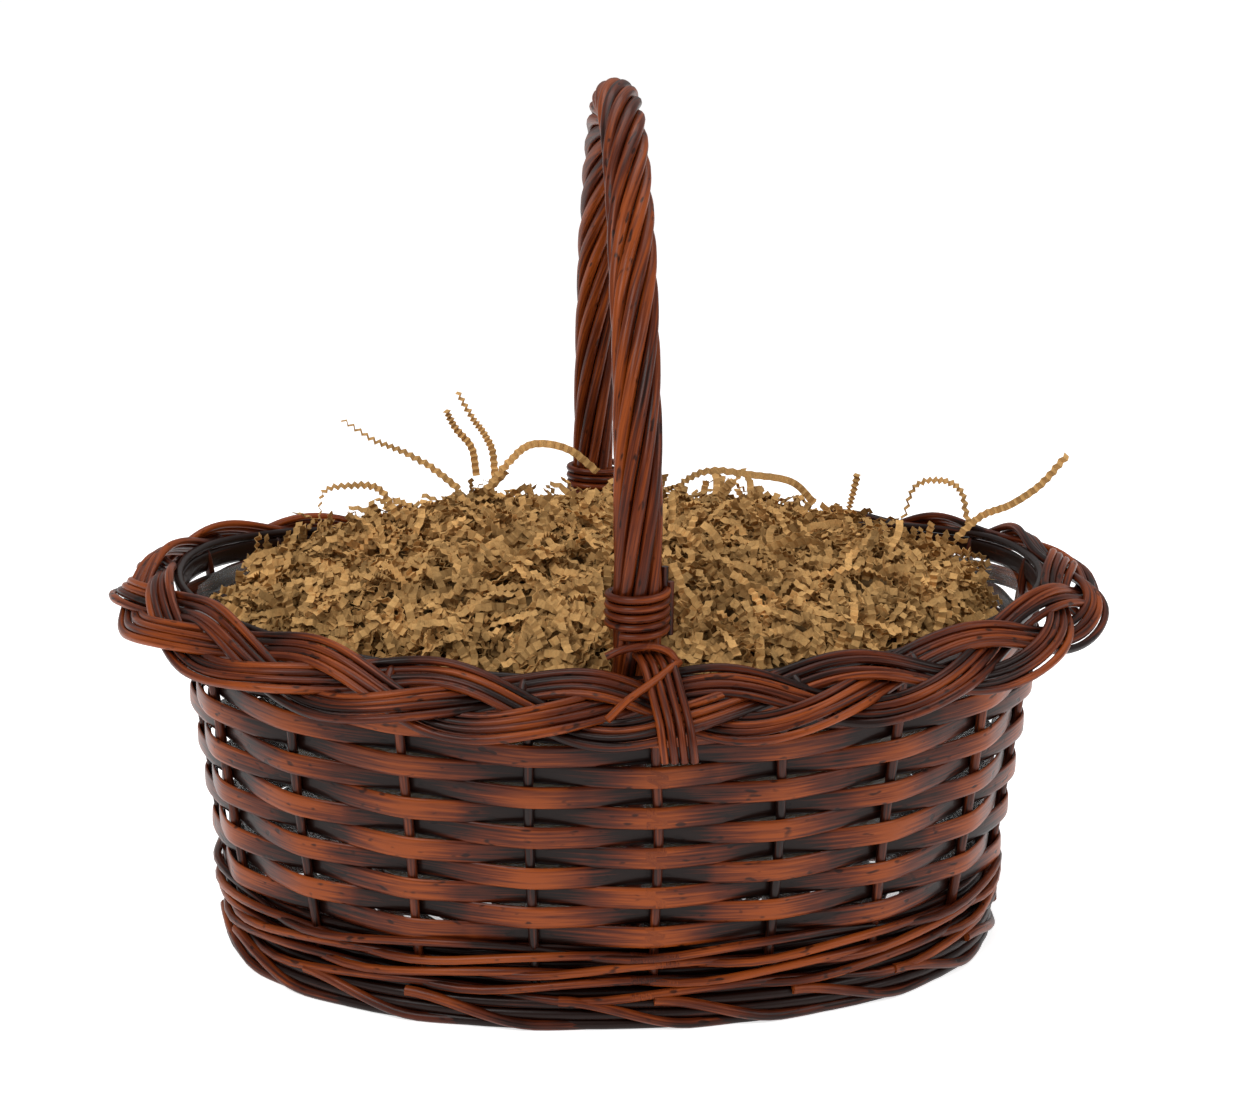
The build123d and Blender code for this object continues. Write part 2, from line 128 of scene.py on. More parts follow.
class BasketSizes(bpy.types.PropertyGroup):
    """Sizes of the willow, the paper and the film."""

    strip_height: bpy.props.FloatProperty(
        name="Strip height", description="Height of a split-willow weaver",
        default=8.8 * MM, unit="LENGTH", precision=5)
    strip_thickness: bpy.props.FloatProperty(
        name="Strip thickness", description="Thickness of a split-willow weaver",
        default=1.5 * MM, unit="LENGTH", precision=5)
    border_rod: bpy.props.FloatProperty(
        name="Border rod", description="Diameter of a rod of the plaited border",
        default=3.5 * MM, unit="LENGTH", precision=5)
    roping_rod: bpy.props.FloatProperty(
        name="Roping rod", description="Diameter of a rod twisted round the bow",
        default=5.0 * MM, unit="LENGTH", precision=5)
    lashing_rod: bpy.props.FloatProperty(
        name="Lashing rod", description="Diameter of the rod that ties the bow",
        default=3.2 * MM, unit="LENGTH", precision=5)
    wale_rod: bpy.props.FloatProperty(
        name="Wale rod", description="Diameter of a rod of the upset wale",
        default=3.7 * MM, unit="LENGTH", precision=5)
    paper_width: bpy.props.FloatProperty(
        name="Paper width", description="Width of a crinkle-cut paper strip",
        default=3.2 * MM, unit="LENGTH", precision=5)
    paper_strips: bpy.props.IntProperty(
        name="Paper strips", description="Number of strips in each part of the heap", default=520)


class BasketColours(bpy.types.PropertyGroup):
    """Stains, with painted shade and painted highlight, and papers."""

    # willow_deep also gives the painted shade in the hollows, and willow_light the painted highlight
    # where the willow stands proud.
    willow_deep: bpy.props.FloatVectorProperty(
        name="Deep stain and painted shade", description="Stain in the grain, and painted shade in the hollows",
        subtype="COLOR", size=3, default=(0.0095, 0.0022, 0.0010))
    willow_mid: bpy.props.FloatVectorProperty(
        name="Stain", description="Stain on most of the willow",
        subtype="COLOR", size=3, default=(0.082, 0.0130, 0.0027))
    willow_light: bpy.props.FloatVectorProperty(
        name="Rubbed stain and painted highlight", description="Rubbed stain and painted highlight where the willow stands proud",
        subtype="COLOR", size=3, default=(0.240, 0.0470, 0.0058))
    paper: bpy.props.FloatVectorProperty(
        name="Kraft paper", description="Colour of the paper strips",
        subtype="COLOR", size=3, default=(0.565, 0.326, 0.121))
    floor: bpy.props.FloatVectorProperty(
        name="Floor", description="Colour of the floor",
        subtype="COLOR", size=3, default=(0.92, 0.92, 0.92))


# ---- Outlines that the whole basket shares -------------------------------------------------------
def oval_stations(half_length, half_width, count, shift=0.0):
    """Evenly spaced stations round an oval from its front middle: place and outward direction."""
    ring = []
    for step in range(OVAL_FINENESS):
        angle = 2 * math.pi * step / OVAL_FINENESS - math.pi / 2
        along, across = math.cos(angle), math.sin(angle)
        size = (abs(along) ** OVAL_POWER + abs(across) ** OVAL_POWER) ** (-1 / OVAL_POWER)
        ring.append(Vector((half_length * along * size, half_width * across * size, 0)))
    lengths = [(after - here).length for here, after in zip(ring, ring[1:] + ring[:1])]
    perimeter = sum(lengths)
    stations = []
    walked, step = 0.0, 0
    for index in range(count):
        target = (shift + perimeter * index / count) % perimeter
        if target < walked:
            walked, step = 0.0, 0
        while walked + lengths[step] < target:
            walked += lengths[step]
            step += 1
        here, after = ring[step], ring[(step + 1) % OVAL_FINENESS]
        run = (after - here).normalized()
        place = here + run * (target - walked)
        stations.append((place, Vector((run.y, -run.x, 0))))
    return stations


def wall_share(level):
    """0 at the base, 1 at the crest."""
    return (level - BASE_LEVEL) / (CREST_LEVEL - BASE_LEVEL)


def wall_size(level):
    """Half length and half width of the wall line at a height."""
    share = wall_share(level)
    return tuple(base + share * (crest - base) for base, crest in zip(BASE_HALF, CREST_HALF))


def rise(x, level):
    """Extra height towards the basket's ends, growing from nothing at the base."""
    return RIM_RISE * (x / BORDER_HALF_LENGTH) ** 2 * max(0.0, wall_share(level))


def border_point(station, across, heave):
    """A point of the plait from its place across the sloping border and above its surface."""
    place, outward = station
    reach = BORDER_REACH - BORDER_ROD_RADIUS - PLAIT_EDGE * math.cos(BORDER_SLOPE)
    level = CREST_LEVEL - BORDER_ROD_RADIUS - PLAIT_EDGE * math.sin(BORDER_SLOPE)
    out = reach + across * math.cos(BORDER_SLOPE) + heave * math.sin(BORDER_SLOPE)
    point = place + outward * out
    point.z = level - across * math.sin(BORDER_SLOPE) + heave * math.cos(BORDER_SLOPE)
    point.z += rise(point.x, CREST_LEVEL)
    return point


class Bow:
    """The middle line of the handle: two straight legs, two side arcs and a top arc."""

    def __init__(self):
        self.foot_z = BOW_BOX[0].z + LEG_END_TILT
        self.top_z = CREST_LEVEL + LEG_STRAIGHT
        self.foot_y = wall_size(self.foot_z)[1] - LEG_INSET
        self.top_y = wall_size(self.top_z)[1] - LEG_INSET
        self.lean = math.atan2(self.top_y - self.foot_y, self.top_z - self.foot_z)
        self.crown = ROPING_BOX[1].z - ROPED_RADIUS
        height = self.crown - self.top_z
        # the two arcs' radii from the two equations that close the half bow
        a11, a12 = math.cos(self.lean) - math.cos(BOW_SHOULDER), math.cos(BOW_SHOULDER)
        a21, a22 = math.sin(BOW_SHOULDER) + math.sin(self.lean), 1 - math.sin(BOW_SHOULDER)
        determinant = a11 * a22 - a12 * a21
        self.side_radius = (self.top_y * a22 - a12 * height) / determinant
        self.top_radius = (a11 * height - a21 * self.top_y) / determinant
        self.leg = math.hypot(self.top_y - self.foot_y, self.top_z - self.foot_z)
        self.side = self.side_radius * (BOW_SHOULDER + self.lean)
        self.half = self.leg + self.side + self.top_radius * (math.pi / 2 - BOW_SHOULDER)

    def point(self, walked):
        """Place on the middle line and its outward direction."""
        side = -1.0
        if walked > self.half:
            walked, side = 2 * self.half - walked, 1.0
        if walked <= self.leg:
            heading = -self.lean
            y = self.foot_y - walked * math.sin(heading)
            z = self.foot_z + walked * math.cos(heading)
        elif walked <= self.leg + self.side:
            heading = -self.lean + (walked - self.leg) / self.side_radius
            y = self.top_y - self.side_radius * (math.cos(self.lean) - math.cos(heading))
            z = self.top_z + self.side_radius * (math.sin(heading) + math.sin(self.lean))
        else:
            heading = BOW_SHOULDER + (walked - self.leg - self.side) / self.top_radius
            y = self.top_radius * math.cos(heading)
            z = self.crown - self.top_radius * (1 - math.sin(heading))
        outward = Vector((0, side * math.cos(heading), math.sin(heading)))
        return Vector((0, side * y, z)), outward


# ---- Growing rods and strips ---------------------------------------------------------------------
def new_willow_mesh():
    """An empty bmesh with the layers that the willow finish reads."""
    bm = bmesh.new()
    bm.verts.layers.float_vector.new("grain")
    bm.verts.layers.float.new("tone")
    return bm


def mesh_from(bm, name):
    """Write a bmesh into a new mesh and let the bmesh go."""
    mesh = bpy.data.meshes.new(name)
    bm.to_mesh(mesh)
    bm.free()
    return mesh


def take_in(bm, mesh):
    """Move a mesh into a bmesh."""
    bm.from_mesh(mesh)
    bpy.data.meshes.remove(mesh)


def extrude_run(bm, edges):
    """Extrude a run of edges in place: the new vertices and the new run."""
    made = bmesh.ops.extrude_edge_only(bm, edges=edges)["geom"]
    verts = [item for item in made if isinstance(item, bmesh.types.BMVert)]
    fresh = set(verts)
    run = [item for item in made if isinstance(item, bmesh.types.BMEdge)
           and all(vert in fresh for vert in item.verts)]
    return verts, run


def station_frames(points, outs, closed, rolls=None):
    """A frame at each point of a path: X outwards, Z along."""
    frames = []
    last = len(points) - 1
    for index, (point, out) in enumerate(zip(points, outs)):
        before = points[index - 1] if index or closed else points[0]
        after = points[(index + 1) % len(points)] if index < last or closed else points[last]
        along = (after - before).normalized()
        side = (out - along * out.dot(along)).normalized()
        across = along.cross(side)
        axes = Matrix((side, across, along)).transposed().to_4x4()
        if rolls:
            axes = axes @ Matrix.Rotation(rolls[index], 4, "Z")
        frames.append(Matrix.Translation(point) @ axes)
    if closed:
        frames.append(frames[0])
    return frames


def grow_rod(bm, points, outs, half_out, half_up, closed=False, segments=8, squareness=2.0,
             tones=0.0, girth=0.04, seed=0, rolls=None):
    """Grow a rod or a strip along a path by extruding a ring of the section from frame to frame."""
    rod = new_willow_mesh()
    grain = rod.verts.layers.float_vector["grain"]
    tone = rod.verts.layers.float["tone"]
    frames = station_frames(points, outs, closed, rolls)
    made = bmesh.ops.create_circle(rod, cap_ends=not closed, radius=1.0, segments=segments)
    ring = made["verts"]
    offset = 3.7 * (seed % 97)
    for vert in ring:
        angle = math.atan2(vert.co.y, vert.co.x)
        c, s = math.cos(angle), math.sin(angle)
        size = (abs(c) ** squareness + abs(s) ** squareness) ** (-1 / squareness)
        vert.co = (half_out * c * size, half_up * s * size, 0)
        vert[grain] = (offset, vert.co.x, vert.co.y)
    edges = rod.edges[:]
    first = ring
    walked = 0.0
    last = len(frames) - 1
    previous = Matrix.Identity(4)
    for index, place in enumerate(frames):
        if index:
            ring, edges = extrude_run(rod, edges)
            walked += (place.translation - frames[index - 1].translation).length
        wobble = noise.noise(Vector((walked * GIRTH_WAVES, seed * 1.7, 0.3)))
        knot = noise.noise(Vector((walked * KNOT_WAVES, seed * 2.3, 7.1))) - KNOT_LEVEL
        knot = max(0.0, knot) * KNOT_SWELL
        if closed:
            fade = math.sin(math.pi * index / last)
            wobble, knot = wobble * fade, knot * fade
        size = 1 + girth * (wobble + knot)
        now = place @ Matrix.Diagonal((size, size, 1, 1))
        bmesh.ops.transform(rod, matrix=now @ previous.inverted(), verts=ring)
        previous = now
        level = tones[min(index, len(tones) - 1)] if isinstance(tones, list) else tones
        for vert in ring:
            start = vert[grain]
            vert[grain] = (offset + walked, start[1], start[2])
            vert[tone] = level
    if closed:
        bmesh.ops.remove_doubles(rod, verts=first + ring, dist=1e-6)
    else:
        bmesh.ops.contextual_create(rod, geom=edges)
    bmesh.ops.recalc_face_normals(rod, faces=rod.faces)
    take_in(bm, mesh_from(rod, "rod"))


def make_piece(name, bm, material, replaced=()):
    """Turn a bmesh into a finished piece of the basket."""
    bmesh.ops.recalc_face_normals(bm, faces=bm.faces)
    mesh = mesh_from(bm, name)
    mesh.polygons.foreach_set("use_smooth", [True] * len(mesh.polygons))
    piece = bpy.data.objects.new(name, mesh)
    bpy.context.scene.collection.objects.link(piece)
    mesh.materials.append(material)
    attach(piece, "root")
    if replaced:
        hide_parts(*replaced)
    return piece


def sharpen_ends(piece):
    """Keep the cut ends of rods crisp under smooth shading."""
    piece.data.set_sharp_from_angle(angle=math.radians(50))


def smooth_route(points, per_run=8):
    """A gentle curve through a few given points."""
    route = []
    ends = [2 * points[0] - points[1]] + points + [2 * points[-1] - points[-2]]
    for index in range(1, len(ends) - 2):
        p0, p1, p2, p3 = ends[index - 1:index + 3]
        for step in range(per_run):
            t = step / per_run
            route.append(0.5 * (2 * p1 + (p2 - p0) * t + (2 * p0 - 5 * p1 + 4 * p2 - p3) * t * t
                                + (3 * p1 - p0 - 3 * p2 + p3) * t ** 3))
    route.append(points[-1].copy())
    return route


# ---- Finishes ------------------------------------------------------------------------------------
def node_tree(name):
    """A new material with only a Principled shader, and its links."""
    material = bpy.data.materials.new(name)
    material.use_nodes = True
    nodes, links = material.node_tree.nodes, material.node_tree.links
    nodes.clear()
    shader = nodes.new("ShaderNodeBsdfPrincipled")
    output = nodes.new("ShaderNodeOutputMaterial")
    links.new(shader.outputs["BSDF"], output.inputs["Surface"])
    return material, nodes, links, shader


def stretched_noise(nodes, links, vector, scale, detail=3.0):
    """Noise on a coordinate that is stretched by a Mapping node."""
    mapping = nodes.new("ShaderNodeMapping")
    mapping.inputs["Scale"].default_value = scale
    links.new(vector, mapping.inputs["Vector"])
    texture = nodes.new("ShaderNodeTexNoise")
    texture.inputs["Scale"].default_value = 1.0
    texture.inputs["Detail"].default_value = detail
    links.new(mapping.outputs["Vector"], texture.inputs["Vector"])
    return texture.outputs["Fac"]


def ramp(nodes, links, value, stops):
    """A colour ramp from (place, colour) stops."""
    node = nodes.new("ShaderNodeValToRGB")
    elements = node.color_ramp.elements
    while len(elements) < len(stops):
        elements.new(0.5)
    for element, (place, colour) in zip(elements, stops):
        element.position = place
        element.color = (*colour, 1.0)
    links.new(value, node.inputs["Fac"])
    return node.outputs["Color"]


def combine(nodes, links, operation, first, second):
    """A Math node on two sockets or numbers."""
    node = nodes.new("ShaderNodeMath")
    node.operation = operation
    for socket, value in zip(node.inputs, (first, second)):
        if isinstance(value, (int, float)):
            socket.default_value = value
        else:
            links.new(value, socket)
    return node.outputs["Value"]


def weighted_sum(nodes, links, *parts):
    """The sum of sockets, each times its weight."""
    total = None
    for socket, weight in parts:
        share = combine(nodes, links, "MULTIPLY", socket, weight)
        total = share if total is None else combine(nodes, links, "ADD", total, share)
    return total


def add_bump(nodes, links, shader, height, strength, distance):
    """Raise the surface by a height socket."""
    bump = nodes.new("ShaderNodeBump")
    bump.inputs["Strength"].default_value = strength
    bump.inputs["Distance"].default_value = distance
    links.new(height, bump.inputs["Height"])
    links.new(bump.outputs["Normal"], shader.inputs["Normal"])


def willow_finish(name, colours, roughness, coat, lift, on_object):
    """Stained, varnished willow: long grain streaks, blotches of stain, small dark scars, and a tone
    attribute that carries random tone with painted shade and painted highlight.
    """
    material, nodes, links, shader = node_tree(name)
    if on_object:
        vector = nodes.new("ShaderNodeTexCoord").outputs["Object"]
    else:
        attribute = nodes.new("ShaderNodeAttribute")
        attribute.attribute_name = "grain"
        vector = attribute.outputs["Vector"]
    tone = nodes.new("ShaderNodeAttribute")
    tone.attribute_name = "tone"
    streaks = stretched_noise(nodes, links, vector, (35, 1100, 1100), 4.0)
    blotches = stretched_noise(nodes, links, vector, (28, 90, 90), 2.0)
    scars = stretched_noise(nodes, links, vector, (150, 380, 380), 1.0)
    # The tone attribute paints shade where willow goes behind or under other willow and highlight
    # where it stands proud, on top of its random tone.
    mixed = weighted_sum(nodes, links, (streaks, 0.90), (blotches, 0.55),
                         (tone.outputs["Fac"], 0.36))
    mixed = combine(nodes, links, "ADD", mixed, lift - 0.21)
    colour = ramp(nodes, links, mixed, (
        (0.28, colours.willow_deep), (0.52, colours.willow_mid), (0.80, colours.willow_light)))
    scar_mask = ramp(nodes, links, scars, ((0.66, (0, 0, 0)), (0.74, (0.8, 0.8, 0.8))))
    darken = nodes.new("ShaderNodeMixRGB")
    darken.blend_type = "MIX"
    darken.inputs["Color2"].default_value = (*[0.5 * c for c in colours.willow_deep], 1)
    links.new(scar_mask, darken.inputs["Fac"])
    links.new(colour, darken.inputs["Color1"])
    links.new(darken.outputs["Color"], shader.inputs["Base Color"])
    dull = nodes.new("ShaderNodeMapRange")
    dull.inputs["To Min"].default_value = roughness - 0.08
    dull.inputs["To Max"].default_value = roughness + 0.12
    links.new(blotches, dull.inputs["Value"])
    links.new(dull.outputs["Result"], shader.inputs["Roughness"])
    shader.inputs["Coat Weight"].default_value = coat
    shader.inputs["Coat Roughness"].default_value = 0.16
    shader.inputs["Specular IOR Level"].default_value = 0.13
    relief = combine(nodes, links, "SUBTRACT", streaks, scar_mask)
    add_bump(nodes, links, shader, relief, 0.5, 0.25 * MM)
    return material


def paper_finish(name, colour, shade):
    """Soft kraft paper with fibres and a slightly uneven tone."""
    material, nodes, links, shader = node_tree(name)
    vector = nodes.new("ShaderNodeTexCoord").outputs["Object"]
    fibres = stretched_noise(nodes, links, vector, (900, 900, 900), 4.0)
    patches = stretched_noise(nodes, links, vector, (60, 60, 60), 2.0)
    mixed = weighted_sum(nodes, links, (fibres, 0.35), (patches, 0.65))
    dark = tuple(channel * 0.50 * shade for channel in colour)
    light = tuple(min(1.0, channel * 1.15 * shade) for channel in colour)
    links.new(ramp(nodes, links, mixed, ((0.30, dark), (0.68, light))), shader.inputs["Base Color"])
    shader.inputs["Roughness"].default_value = 0.85
    shader.inputs["Specular IOR Level"].default_value = 0.1
    add_bump(nodes, links, shader, fibres, 0.3, 0.1 * MM)
    return material


def film_finish():
    """Clear glossy liner film with faint crinkles."""
    material, nodes, links, shader = node_tree("clear liner film")
    shader.inputs["Base Color"].default_value = (0.82, 0.86, 0.86, 1)
    shader.inputs["Roughness"].default_value = 0.09
    shader.inputs["Specular IOR Level"].default_value = 0.9
    shader.inputs["Alpha"].default_value = 0.08
    vector = nodes.new("ShaderNodeTexCoord").outputs["Object"]
    crinkles = stretched_noise(nodes, links, vector, (120, 120, 60), 3.0)
    add_bump(nodes, links, shader, crinkles, 0.6, 1.5 * MM)
    return material


def willow(name, on_object=False):
    """A willow finish made once and shared by its name."""
    if name not in bpy.data.materials:
        willow_finish(name, bpy.context.scene.basket_colours, *WILLOW_LOOKS[name], on_object)
    return bpy.data.materials[name]


# ---- Pieces --------------------------------------------------------------------------------------
class BASKET_OT_base(bpy.types.Operator):
    """Weave the base: rods that go over and under the base sticks"""

    bl_idname = "basket.base"
    bl_label = "Base"

    def execute(self, context):
        per_stake = 8
        for layer, name in ((0, "base_weave_upper"), (1, "base_weave_lower")):
            bm = new_willow_mesh()
            for order in range(layer, BASE_RODS, 2):
                inset = BASE_ROD_EDGE + order * BASE_ROD_PITCH
                stations = oval_stations(
                    BASE_HALF[0] - inset, BASE_HALF[1] - inset, per_stake * STAKE_COUNT)
                points, outs = [], []
                for index, (place, outward) in enumerate(stations):
                    lift = BASE_ROD_SWING * math.cos(math.pi * (index / per_stake + order))
                    points.append(place + Vector((0, 0, BASE_LEVEL + lift)))
                    outs.append(outward)
                grow_rod(bm, points, outs, BASE_ROD_RADIUS, BASE_ROD_RADIUS, closed=True,
                         segments=6, seed=order, tones=random.Random(order).uniform(-0.4, 0.2))
            make_piece(f"woven_{name}", bm, willow("base willow"), [name])
        return {"FINISHED"}


class BASKET_OT_foot(bpy.types.Operator):
    """Twist the foot border and the upset wale round the stakes"""

    bl_idname = "basket.foot"
    bl_label = "Foot and upset"

    def wale_rod(self, bm, level, radius, strand, seed):
        """One rod of a three-rod wale: outside two stakes, inside the third."""
        steps = WALE_WAVES * WALE_STEPS
        swing = STAKE_RADIUS + 1.5 * radius
        base_tone = random.Random(seed).uniform(-0.35, 0.25)
        points, outs, tones = [], [], []
        for index, (place, outward) in enumerate(
                oval_stations(*wall_size(level), steps, STAKE_SHIFT)):
            turn = 2 * math.pi * (index / WALE_STEPS + strand / 3)
            out = swing * (0.62 + 0.38 * math.cos(turn) - 0.18 * math.cos(2 * turn))
            lift = WALE_HEAVE * math.sin(turn)
            fade = math.sin(math.pi * index / steps)
            lift += 1.1 * MM * fade * noise.noise(Vector((index * 0.08, seed * 1.9, 5.0)))
            points.append(place + outward * out + Vector((0, 0, level + lift)))
            outs.append(outward)
            # Painted highlight where the rod runs outside the stakes and painted shade where it
            # passes inside; each rod adds a random tone.
            tones.append(0.5 * math.cos(turn) + base_tone)
        grow_rod(bm, points, outs, radius, radius, closed=True, segments=8, seed=seed,
                 tones=tones, girth=0.07)

    def shade_backing_rod(self, bm, level, out, radius, seed):
        """A plain rod painted dark as shade, behind the twisted ones, inside the wall or on the
        stakes' outer side.
        """
        size = wall_size(level) if out < 0 else BASE_HALF
        points, outs = [], []
        for place, outward in oval_stations(*size, 4 * STAKE_COUNT):
            points.append(place + outward * out + Vector((0, 0, level)))
            outs.append(outward)
        # The tone of -0.8 paints the rod in shade.
        grow_rod(bm, points, outs, radius, radius, closed=True, segments=8, seed=seed, tones=-0.8)

    def foot_rod(self, bm, index):
        """One rod of the foot: its cut end leans on the next, then it dives and tucks in."""
        per_stake = 10
        dive_end, tuck_start, tuck_run = 1.15, 0.9, 1.1     # in stakes from the cut end
        stations = oval_stations(*BASE_HALF, per_stake * STAKE_COUNT, STAKE_SHIFT)
        wander = random.Random(70 + index)
        radius = FOOT_ROD_RADIUS * wander.uniform(0.88, 1.0)
        start = wander.randint(-2, 2)
        steps = 25 + wander.randint(-2, 2)
        points, outs, tones = [], [], []
        for step in range(steps + 1):
            place, outward = stations[(index * per_stake + start + step) % len(stations)]
            share = step / per_stake
            dive = min(1.0, share / dive_end)
            dive = dive * dive * (3 - 2 * dive)
            tuck = min(1.0, max(0.0, (share - tuck_start) / tuck_run))
            level = FOOT_TOP + (radius - FOOT_TOP) * dive
            out = FOOT_OUTSET - FOOT_ROD_RADIUS - 2 * FOOT_ROD_RADIUS * tuck
            points.append(place + outward * out + Vector((0, 0, level)))
            outs.append(outward)
            # Lighter where the cut end lies on top and darker as the rod dives and tucks under:
            # painted highlight and painted shade.
            tones.append(0.55 - 0.75 * min(1.0, share) + wander.uniform(-0.08, 0.08))
        grow_rod(bm, points, outs, radius, radius, segments=10, seed=70 + index, tones=tones,
                 girth=0.06)

    def execute(self, context):
        for index in range(3):
            name = f"foot_border_rod_{index + 1}"
            bm = new_willow_mesh()
            for stake in range(index, STAKE_COUNT, 3):
                self.foot_rod(bm, stake)
            low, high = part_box(name)
            level = max(FOOT_ROD_RADIUS, 0.5 * (low.z + high.z))
            self.shade_backing_rod(bm, level, FOOT_OUTSET - 2 * FOOT_ROD_RADIUS, FOOT_ROD_RADIUS, 60 + index)
            self.shade_backing_rod(bm, 7 * MM + index * 3.6 * MM, -0.6 * MM, 2.4 * MM, 64 + index)
            piece = make_piece(f"tucked_{name}", bm, willow("foot willow"), [name])
            sharpen_ends(piece)
        rod = 0.5 * context.scene.basket_sizes.wale_rod
        for index in range(3):
            name = f"upset_wale_rod_{index + 1}"
            low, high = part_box(name)
            bm = new_willow_mesh()
            for turn, level in enumerate((low.z + 1.8 * MM, high.z - 1.8 * MM)):
                self.wale_rod(bm, level, rod, index + 0.5 * turn, 50 + 3 * turn + index)
                self.shade_backing_rod(bm, level, -STAKE_RADIUS - 0.6 * rod, 1.1 * rod, 90 + index)
            make_piece(f"twisted_{name}", bm, willow("upset willow"), [name])
        return {"FINISHED"}


class BASKET_OT_stakes(bpy.types.Operator):
    """Stand the side stakes: in under the base, pricked up and up to the border"""

    bl_idname = "basket.stakes"
    bl_label = "Side stakes"

    def execute(self, context):
        top_level = CREST_LEVEL - STAKE_TOP_DROP
        knees = oval_stations(*BASE_HALF, STAKE_COUNT, STAKE_SHIFT)
        tops = oval_stations(*wall_size(top_level), STAKE_COUNT, STAKE_SHIFT)
        for index in range(STAKE_COUNT):
            knee, outward = knees[index]
            knee = knee + Vector((0, 0, BASE_LEVEL))
            top = tops[index][0] + Vector((0, 0, top_level + rise(tops[index][0].x, top_level)))
            wander = random.Random(200 + index)
            sideways = Vector((outward.y, -outward.x, 0))
            lean = sideways * wander.uniform(-1.2, 1.2) * MM
            points = smooth_route([
                knee - outward * 24 * MM,
                knee - outward * 9 * MM,
                knee + Vector((0, 0, 3 * MM)) - outward * 1.2 * MM,
                knee.lerp(top, 0.16),
                knee.lerp(top, 0.5) + lean,
                knee.lerp(top, 0.8) - lean * 0.5,
                top,
                top + outward * 7 * MM + Vector((0, 0, 1 * MM)) + lean,
                top + outward * 17 * MM - Vector((0, 0, 9 * MM)) + lean * 4,
            ], 5)
            bm = new_willow_mesh()
            radius = STAKE_RADIUS * wander.uniform(0.92, 1.05)
            grow_rod(bm, points, [sideways] * len(points), radius, radius, segments=10,
                     seed=200 + index, tones=wander.uniform(-0.5, 0.2), girth=0.06)
            name = f"side_stake_{index + 1:02d}"
            make_piece(f"round_{name}", bm, willow("stake willow"), [name])
        return {"FINISHED"}


class BASKET_OT_wall(bpy.types.Operator):
    """Weave the wall from split-willow strips"""

    bl_idname = "basket.wall"
    bl_label = "Woven wall"

    def under_border(self, bm, level, sizes):
        """The last strip and the rod that the border is plaited on, just inside the stakes, both
        painted dark as shade under the border.
        """
        inset = 0.6 * MM
        for lift, half_out, half_up in (
                (8.0 * MM, 0.8 * MM, 0.5 * sizes.strip_height),
                (13.6 * MM, 1.9 * MM, 1.9 * MM)):
            points, outs = [], []
            for place, outward in oval_stations(
                    *wall_size(level + lift), 8 * STAKE_COUNT, STAKE_SHIFT):
                point = place - outward * inset
                point.z = level + lift + rise(point.x, level + lift)
                points.append(point)
                outs.append(outward)
            # The tone of -0.7 is painted shade under the border.
            grow_rod(bm, points, outs, half_out, half_up, closed=True, segments=8, tones=-0.7,
                     seed=int(lift / MM))

    def execute(self, context):
        sizes = context.scene.basket_sizes
        per_stake = 12
        steps = per_stake * STAKE_COUNT
        straightness = 0.97        # 1 would run straight from stake to stake
        swing = STAKE_RADIUS + 0.5 * sizes.strip_thickness + 0.35 * MM
        for row in range(ROW_COUNT):
            name = f"weave_row_{row + 1:02d}"
            low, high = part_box(name)
            level = 0.5 * (low.z + high.z)
            wander = random.Random(300 + row)
            stake_tones = [wander.uniform(-0.5, 0.7) for _ in range(STAKE_COUNT)]
            points, outs, tones, rolls = [], [], [], []
            for index, (place, outward) in enumerate(
                    oval_stations(*wall_size(level), steps, STAKE_SHIFT)):
                wave = math.cos(math.pi * (index / per_stake + row))
                wave = math.asin(straightness * wave) / math.asin(straightness)
                out = swing * wave + 0.5 * MM * noise.noise(Vector((index * 0.11, row, 2.0)))
                drift = 0.9 * MM * noise.noise(Vector((index * 0.05, row * 3.1, 9.0)))
                fade = math.sin(math.pi * index / steps) ** 0.5
                point = place + outward * out
                point.z = level + rise(point.x, level) + drift * fade
                points.append(point)
                outs.append(outward)
                stake_tone = stake_tones[int(index / per_stake + 0.5) % STAKE_COUNT]
                # Tone follows the weave: lighter where the strip stands out over a stake and darker
                # where it goes behind one, partly real stain and partly painted highlight and
                # painted shade; each stake adds a random tone.
                tones.append(0.85 * wave + 0.35 * stake_tone)
                rolls.append(0.10 * noise.noise(Vector((index * 0.07, row * 1.3, 4.0))) * fade)
            rolls.append(rolls[0])
            bm = new_willow_mesh()
            grow_rod(bm, points, outs, 0.5 * sizes.strip_thickness, 0.5 * sizes.strip_height,
                     closed=True, segments=14, squareness=3.4, tones=tones, girth=0.10,
                     seed=300 + row, rolls=rolls)
            if row == ROW_COUNT - 1:
                self.under_border(bm, level, sizes)
            make_piece(f"split_{name}", bm, willow("split willow"), [name])
        return {"FINISHED"}


